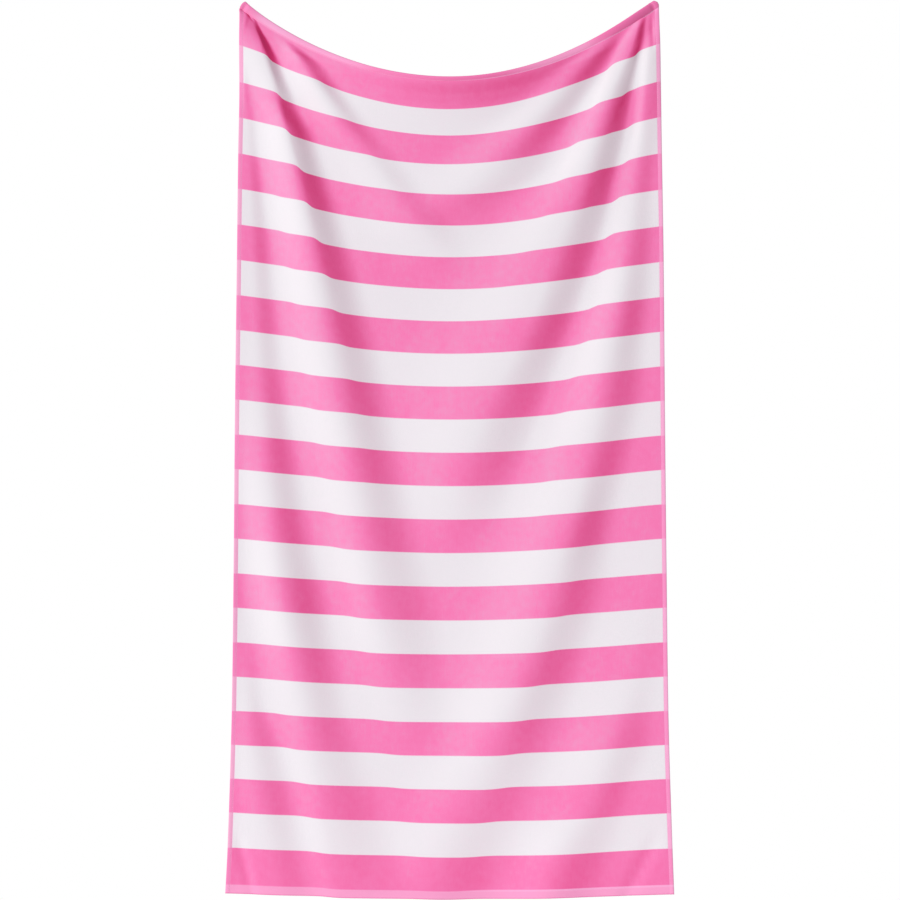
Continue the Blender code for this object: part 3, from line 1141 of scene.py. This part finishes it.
@dataclass
class Towel:
    """The cloth, thickened both ways with its hems turned and sewn, in its stripes.

    The cells are the columns of the cloth's body left of, between and right of the two main
    folds, which they follow down to fan_end, with at least fan_least outside each. They crowd
    towards the main folds by top_crowding at the top and by lower_crowding from fan_end down.
    rows is how many rows of points the body has, which crowd towards the top by row_crowding.
    The painted light and shade in the cloth's colour follow light from light_from, by
    light_share. bottom_light is how light the bottom hem is, and the seams lie side_seam and
    end_seam from the edges.
    """

    left_cells: int = 24
    middle_cells: int = 80
    right_cells: int = 24
    rows: int = 286
    row_crowding: float = 0.45
    fan_end: float = 400.0
    fan_least: float = 30.0
    top_crowding: float = 0.6
    lower_crowding: float = 0.2
    light_from: tuple = (-0.66, -0.73, 0.17)
    light_share: float = 0.65
    bottom_light: float = 0.65
    side_seam: float = 6.0
    end_seam: float = 10.2
    drape: Drape = field(default_factory=Drape)

    def downs(self) -> np.ndarray:
        """Space out the rows of points down the cloth, close together in the end hems.

        Returns:
            Each row's distance down the cloth.
        """
        hem = np.array([station.inwards for station in END_HEM])
        top, bottom = hem * TOP_SHARE, hem * BOTTOM_SHARE
        length = self.drape.length
        even = np.linspace(0, 1, self.rows)
        crowded = even + self.row_crowding * (even * even - even)
        body = top[-1] + (length - top[-1] - bottom[-1]) * crowded
        return np.concatenate([top[:-1], body, (length - bottom[:-1])[::-1]])

    def across(self, down: np.ndarray) -> np.ndarray:
        """Space out the columns of points at each row, which fan out with the two main folds.

        Args:
            down: Distance down the cloth of each row.

        Returns:
            Places across in millimetres, a row for each distance.
        """
        left_edge, right_edge, *_ = through(LEVELS, down).T
        depth = np.minimum(down, self.fan_end)
        left_crest, *_ = through(MAIN_LEFT, depth).T
        right_crest, *_ = through(MAIN_RIGHT, depth).T
        hem = np.array([station.inwards for station in SIDE_HEM])
        start = left_edge + hem[-1]
        end = right_edge - hem[-1]
        left = np.maximum(left_crest, start + self.fan_least)
        right = np.minimum(right_crest, end - self.fan_least)
        lower = depth[:, None] / self.fan_end
        crowding = self.top_crowding + (self.lower_crowding - self.top_crowding) * lower
        even = np.linspace(0, 1, self.middle_cells, endpoint=False)
        crowded = 0.5 * (1 - np.cos(np.pi * even))
        middle = even + crowding * (crowded - even)
        return np.hstack(
            [
                left_edge[:, None] + hem[:-1],
                np.linspace(start, left, self.left_cells, endpoint=False, axis=1),
                left[:, None] + (right - left)[:, None] * middle,
                np.linspace(right, end, self.right_cells, axis=1),
                right_edge[:, None] - hem[:-1][::-1],
            ]
        )

    def half_thickness(self, down: np.ndarray, x: np.ndarray) -> np.ndarray:
        """Work out half the cloth's thickness, with its hems and their sewn grooves.

        Args:
            down: Distance down the cloth of each row of points.
            x: Place across of each point.

        Returns:
            Half the thickness at each point.
        """
        from_bottom = (self.drape.length - down) / BOTTOM_SHARE
        from_end = np.minimum(down / TOP_SHARE, from_bottom)[:, None]
        from_side = np.minimum(x - x[:, :1], x[:, -1:] - x)
        side_half = np.interp(from_side, *np.array(SIDE_HEM).T)
        end_half = np.interp(from_end, *np.array(END_HEM).T)
        return side_half * end_half / END_HEM[-1].half

    def painted_light(self, facing: np.ndarray) -> np.ndarray:
        """Work out the painted light: above nought on slopes that face the light, painted shade
        below.
        """
        lit = np.clip(facing @ np.array(self.light_from) / -self.light_from[1], 0, None)
        return np.log(1 + self.light_share * (lit - 1))

    def hem_weave_and_painted_light(self, shares: np.ndarray) -> np.ndarray:
        """Work out how much pale weave and painted light the end hems show, from each point's
        shares.

        Args:
            shares: Each point's shares of the flat cloth's width and length.

        Returns:
            How much of the pale pink shows, as pale weave and painted light, or of painted shade
            below nought.
        """
        across, down = shares[..., 0], shares[..., 1]
        light, _ = through(TOP_HEM, 2 * across.ravel() - 1).T
        return np.where(down < 0.5, light.reshape(across.shape), self.bottom_light)

    def mesh(self, grids: dict, painted_light: np.ndarray, shares: np.ndarray) -> bpy.types.Mesh:
        """Join the two faces of the cloth round its rim.

        Args:
            grids: The points of each face, in millimetres.
            painted_light: The painted light and shade at each point of the front.
            shares: Each point's shares of the flat cloth's width and length.

        Returns:
            The closed mesh, with its UV map and attributes.
        """
        count = painted_light.size
        index = np.arange(count).reshape(painted_light.shape)
        front = np.stack([index[:-1, :-1], index[1:, :-1], index[1:, 1:], index[:-1, 1:]], -1)
        back = front[..., ::-1] + count
        rim = []
        for line in (index[0], index[-1][::-1], index[:, 0][::-1], index[:, -1]):
            other = line + count
            rim.append(np.stack([line[:-1], line[1:], other[1:], other[:-1]], -1))
        faces = np.vstack([front.reshape(-1, 4), back.reshape(-1, 4), *rim])
        points = np.vstack([grids[face].reshape(-1, 3) for face in Face]) * MM
        mesh = bpy.data.meshes.new("towel_cloth")
        mesh.from_pydata(points.tolist(), [], faces.tolist())
        uv = mesh.uv_layers.new(name="cloth")
        flat = np.vstack([shares.reshape(-1, 2)] * 2)
        uv.data.foreach_set("uv", flat[faces.ravel()].astype(np.float32).ravel())
        attributes = {
            # nap is painted light and shade in the cloth's colour.
            "painted_light": np.concatenate([painted_light.ravel(), np.zeros(count)]),
            "back": np.repeat([0.0, 1.0], count),
            # hem is the top hem's pale weave, painted light and painted shade.
            "hem": np.tile(self.hem_weave_and_painted_light(shares).ravel(), 2),
        }
        for name, values in attributes.items():
            layer = mesh.attributes.new(name, "FLOAT", "POINT")
            layer.data.foreach_set("value", values.astype(np.float32))
        mesh.shade_smooth()
        mesh.validate()
        return mesh

    def build(self, finish: bpy.types.Material) -> tuple:
        """Build the cloth and the lines that its hems are sewn along.

        Args:
            finish: The cloth's material.

        Returns:
            The cloth's object, and the seams as lists of points in metres.
        """
        down = self.downs()
        x = self.across(down)
        middle = self.drape.surface(down, x)
        facing = outwards(middle)
        half = self.half_thickness(down, x)[..., None]
        grids = {face: middle + facing * half * face.value for face in Face}
        share_across = (x - x[:, :1]) / (x[:, -1:] - x[:, :1])
        share_down = np.repeat(down[:, None] / self.drape.length, x.shape[1], axis=1)
        shares = np.stack([share_across, share_down], axis=-1)
        mesh = self.mesh(grids, self.painted_light(facing), shares)
        mesh.materials.append(finish)
        towel = bpy.data.objects.new("towel_cloth", mesh)
        bpy.context.scene.collection.objects.link(towel)
        side, end = nearest(SIDE_HEM, self.side_seam), nearest(END_HEM, self.end_seam)
        seams = []
        for grid in grids.values():
            seams += [grid[:, side], grid[:, -1 - side], grid[end, side:-side]]
            seams.append(grid[-1 - end, side:-side])
        return towel, [seam * MM for seam in seams]


@dataclass
class HemStitches:
    """The sewing of the hems: a row of stitches along each seam, on both faces of the cloth.

    pitch, stitch_length and thread are millimetres. least and most are the bounds of how a
    stitch's length, width and height vary, and sides and rings shape its bead.
    """

    pitch: float = 3.4
    stitch_length: float = 2.7
    thread: float = 0.55
    sides: int = 6
    rings: int = 4
    least: tuple = (0.9, 0.9, 0.9)
    most: tuple = (1.08, 1.1, 1.1)
    seed: int = 11

    def tree(self, finish: bpy.types.Material) -> bpy.types.NodeTree:
        """Build the node tree that sets a stitch at even steps along each seam.

        Args:
            finish: The thread's material.

        Returns:
            The tree, with named inputs for the stitches' sizes.
        """
        tree = bpy.data.node_groups.new("row_of_stitches", "GeometryNodeTree")
        face = tree.interface
        face.new_socket(name="Seams", in_out="INPUT", socket_type="NodeSocketGeometry")
        for name in ("Pitch", "Stitch Length", "Thread"):
            face.new_socket(name=name, in_out="INPUT", socket_type="NodeSocketFloat")
        face.new_socket(name="Stitches", in_out="OUTPUT", socket_type="NodeSocketGeometry")

        given = add_node(tree, "NodeGroupInput").outputs
        lines = add_node(tree, "GeometryNodeMeshToCurve", sockets={"Mesh": given["Seams"]})
        steps = add_node(
            tree,
            "GeometryNodeResampleCurve",
            {"mode": "LENGTH"},
            {"Curve": lines.outputs["Curve"], "Length": given["Pitch"]},
        )
        # The bead is one across, so that its scale is its size.
        bead = add_node(
            tree,
            "GeometryNodeMeshUVSphere",
            sockets={"Segments": self.sides, "Rings": self.rings, "Radius": 0.5},
        )
        sizes = add_node(
            tree,
            "ShaderNodeCombineXYZ",
            sockets={"X": given["Stitch Length"], "Y": given["Thread"], "Z": given["Thread"]},
        )
        stitch = add_node(
            tree,
            "GeometryNodeTransform",
            sockets={"Geometry": bead.outputs["Mesh"], "Scale": sizes.outputs["Vector"]},
        )
        tangent = add_node(tree, "GeometryNodeInputTangent")
        turn = add_node(
            tree,
            "FunctionNodeAlignRotationToVector",
            {"axis": "X"},
            {"Vector": tangent.outputs["Tangent"]},
        )
        vary = add_node(
            tree,
            "FunctionNodeRandomValue",
            {"data_type": "FLOAT_VECTOR"},
            {"Min": self.least, "Max": self.most, "Seed": self.seed},
        )
        row = add_node(
            tree,
            "GeometryNodeInstanceOnPoints",
            sockets={
                "Points": steps.outputs["Curve"],
                "Instance": stitch.outputs["Geometry"],
                "Rotation": turn.outputs["Rotation"],
                "Scale": vary.outputs["Value"],
            },
        )
        stitches = row.outputs["Instances"]
        for kind, sockets in (
            ("GeometryNodeRealizeInstances", {}),
            ("GeometryNodeSetShadeSmooth", {}),
            ("GeometryNodeSetMaterial", {"Material": finish}),
        ):
            step = add_node(tree, kind, sockets={"Geometry": stitches, **sockets})
            stitches = step.outputs["Geometry"]
        add_node(tree, "NodeGroupOutput", sockets={"Stitches": stitches})
        return tree

    def build(self, seams: list, finish: bpy.types.Material) -> bpy.types.Object:
        """Build the stitches.

        Args:
            seams: The seams, as lists of points in metres.
            finish: The thread's material.

        Returns:
            One object that holds every stitch.
        """
        counts = [len(seam) for seam in seams]
        starts = np.cumsum([0, *counts[:-1]])
        edges = [
            (start + step, start + step + 1)
            for start, count in zip(starts, counts)
            for step in range(count - 1)
        ]
        path = bpy.data.meshes.new("seams")
        path.from_pydata(np.vstack(seams).tolist(), edges, [])
        rows = bpy.data.objects.new("seams", path)
        bpy.context.scene.collection.objects.link(rows)
        tree = self.tree(finish)
        sizes = {"Pitch": self.pitch, "Stitch Length": self.stitch_length, "Thread": self.thread}
        sewing = rows.modifiers.new("sewing", "NODES")
        sewing.node_group = tree
        for item in tree.interface.items_tree:
            if item.name in sizes:
                sewing[item.identifier] = sizes[item.name] * MM
        seen = rows.evaluated_get(bpy.context.evaluated_depsgraph_get())
        mesh = bpy.data.meshes.new_from_object(seen)
        mesh.name = "hem_stitches"
        bpy.data.objects.remove(rows, do_unlink=True)
        stitches = bpy.data.objects.new("hem_stitches", mesh)
        bpy.context.scene.collection.objects.link(stitches)
        return stitches


@dataclass
class Studio:
    """The plain studio: a pale floor, soft light and the camera.

    The frame's height and middle, the floor's drop below the cloth and its reach are metres.
    The angles of the key and rear lights are degrees: how far round to the left of the camera
    each one stands, how far up, and how broad both are.
    """

    frame_height: float = 1.530
    frame_middle: tuple = (0.00085, 0.0, -0.7536)
    lens: float = 200.0
    sensor: float = 36.0
    key_strength: float = 2.5
    key_left: float = 42.0
    key_up: float = 10.0
    rear_strength: float = 1.6
    rear_left: float = 200.0
    rear_up: float = 25.0
    breadth: float = 16.0
    fill: float = 0.315
    floor_drop: float = 0.55
    floor_reach: float = 5.0
    floor_colour: Colour = (0.82, 0.82, 0.82)
    floor_roughness: float = 0.9

    def camera(self) -> None:
        """Set the camera square on, far enough back for the cloth to fill the picture."""
        data = bpy.data.cameras.new("camera")
        data.lens = self.lens
        data.sensor_width = self.sensor
        camera = bpy.data.objects.new("camera", data)
        bpy.context.scene.collection.objects.link(camera)
        away = self.frame_height * self.lens / self.sensor
        camera.location = Vector(self.frame_middle) + Vector((0, -away, 0))
        camera.rotation_euler = (math.pi / 2, 0, 0)
        bpy.context.scene.camera = camera

    def lamp(self, name: str, strength: float, round_left: float, up: float) -> None:
        """Add one broad distant light.

        Args:
            name: The light's name.
            strength: Its strength.
            round_left: How far round to the left of the camera it stands, in degrees.
            up: How high it stands, in degrees.
        """
        data = bpy.data.lights.new(name, "SUN")
        data.energy = strength
        data.angle = math.radians(self.breadth)
        lamp = bpy.data.objects.new(name, data)
        bpy.context.scene.collection.objects.link(lamp)
        turn, rise = math.radians(round_left), math.radians(up)
        towards = Vector(
            (-math.sin(turn) * math.cos(rise), -math.cos(turn) * math.cos(rise), math.sin(rise))
        )
        lamp.rotation_euler = towards.to_track_quat("Z", "Y").to_euler()

    def world(self) -> None:
        """Light the scene from all round, in front of a plain white background."""
        world = bpy.data.worlds.new("studio")
        bpy.context.scene.world = world
        world.use_nodes = True
        tree = world.node_tree
        tree.nodes.clear()
        seen = add_node(tree, "ShaderNodeLightPath").outputs["Is Camera Ray"]
        strength = add_node(
            tree,
            "ShaderNodeMapRange",
            sockets={"Value": seen, "To Min": self.fill, "To Max": 1.0},
        )
        light = add_node(
            tree,
            "ShaderNodeBackground",
            sockets={"Color": (1.0, 1.0, 1.0, 1.0), "Strength": strength.outputs["Result"]},
        )
        add_node(tree, "ShaderNodeOutputWorld", sockets={"Surface": light.outputs["Background"]})

    def floor(self, lowest: float) -> bpy.types.Object:
        """Lay the floor below the cloth.

        Args:
            lowest: Height of the cloth's lowest point.

        Returns:
            The floor.
        """
        mesh = bpy.data.meshes.new("floor")
        reach, height = self.floor_reach, lowest - self.floor_drop
        corners = [(-reach, -reach), (reach, -reach), (reach, reach), (-reach, reach)]
        mesh.from_pydata([(x, y, height) for x, y in corners], [], [(0, 1, 2, 3)])
        sockets = {"Base Color": (*self.floor_colour, 1.0), "Roughness": self.floor_roughness}
        mesh.materials.append(Finish("floor").dress(sockets))
        floor = bpy.data.objects.new("floor", mesh)
        bpy.context.scene.collection.objects.link(floor)
        return floor

    def build(self, lowest: float) -> None:
        """Build the studio round the cloth.

        Args:
            lowest: Height of the cloth's lowest point.
        """
        self.camera()
        self.world()
        self.lamp("key", self.key_strength, self.key_left, self.key_up)
        self.lamp("rear", self.rear_strength, self.rear_left, self.rear_up)
        self.floor(lowest)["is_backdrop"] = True
        bpy.context.scene.view_settings.view_transform = "Standard"


def main() -> None:
    """Build the towel, its sewing and the studio, in that order."""
    logging.basicConfig(level=logging.INFO, format="%(message)s")
    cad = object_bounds()

    towel, seams = Towel().build(StripedVelour().build())
    LOG.info("towel_cloth: %d faces", len(towel.data.polygons))
    stitches = HemStitches().build(seams, CottonThread().build())
    LOG.info("hem_stitches: %d faces", len(stitches.data.polygons))
    for piece in (towel, stitches):
        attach(piece, "root")
    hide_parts("towel")

    Studio().build(cad[0].z)


if __name__ == "__main__":
    main()
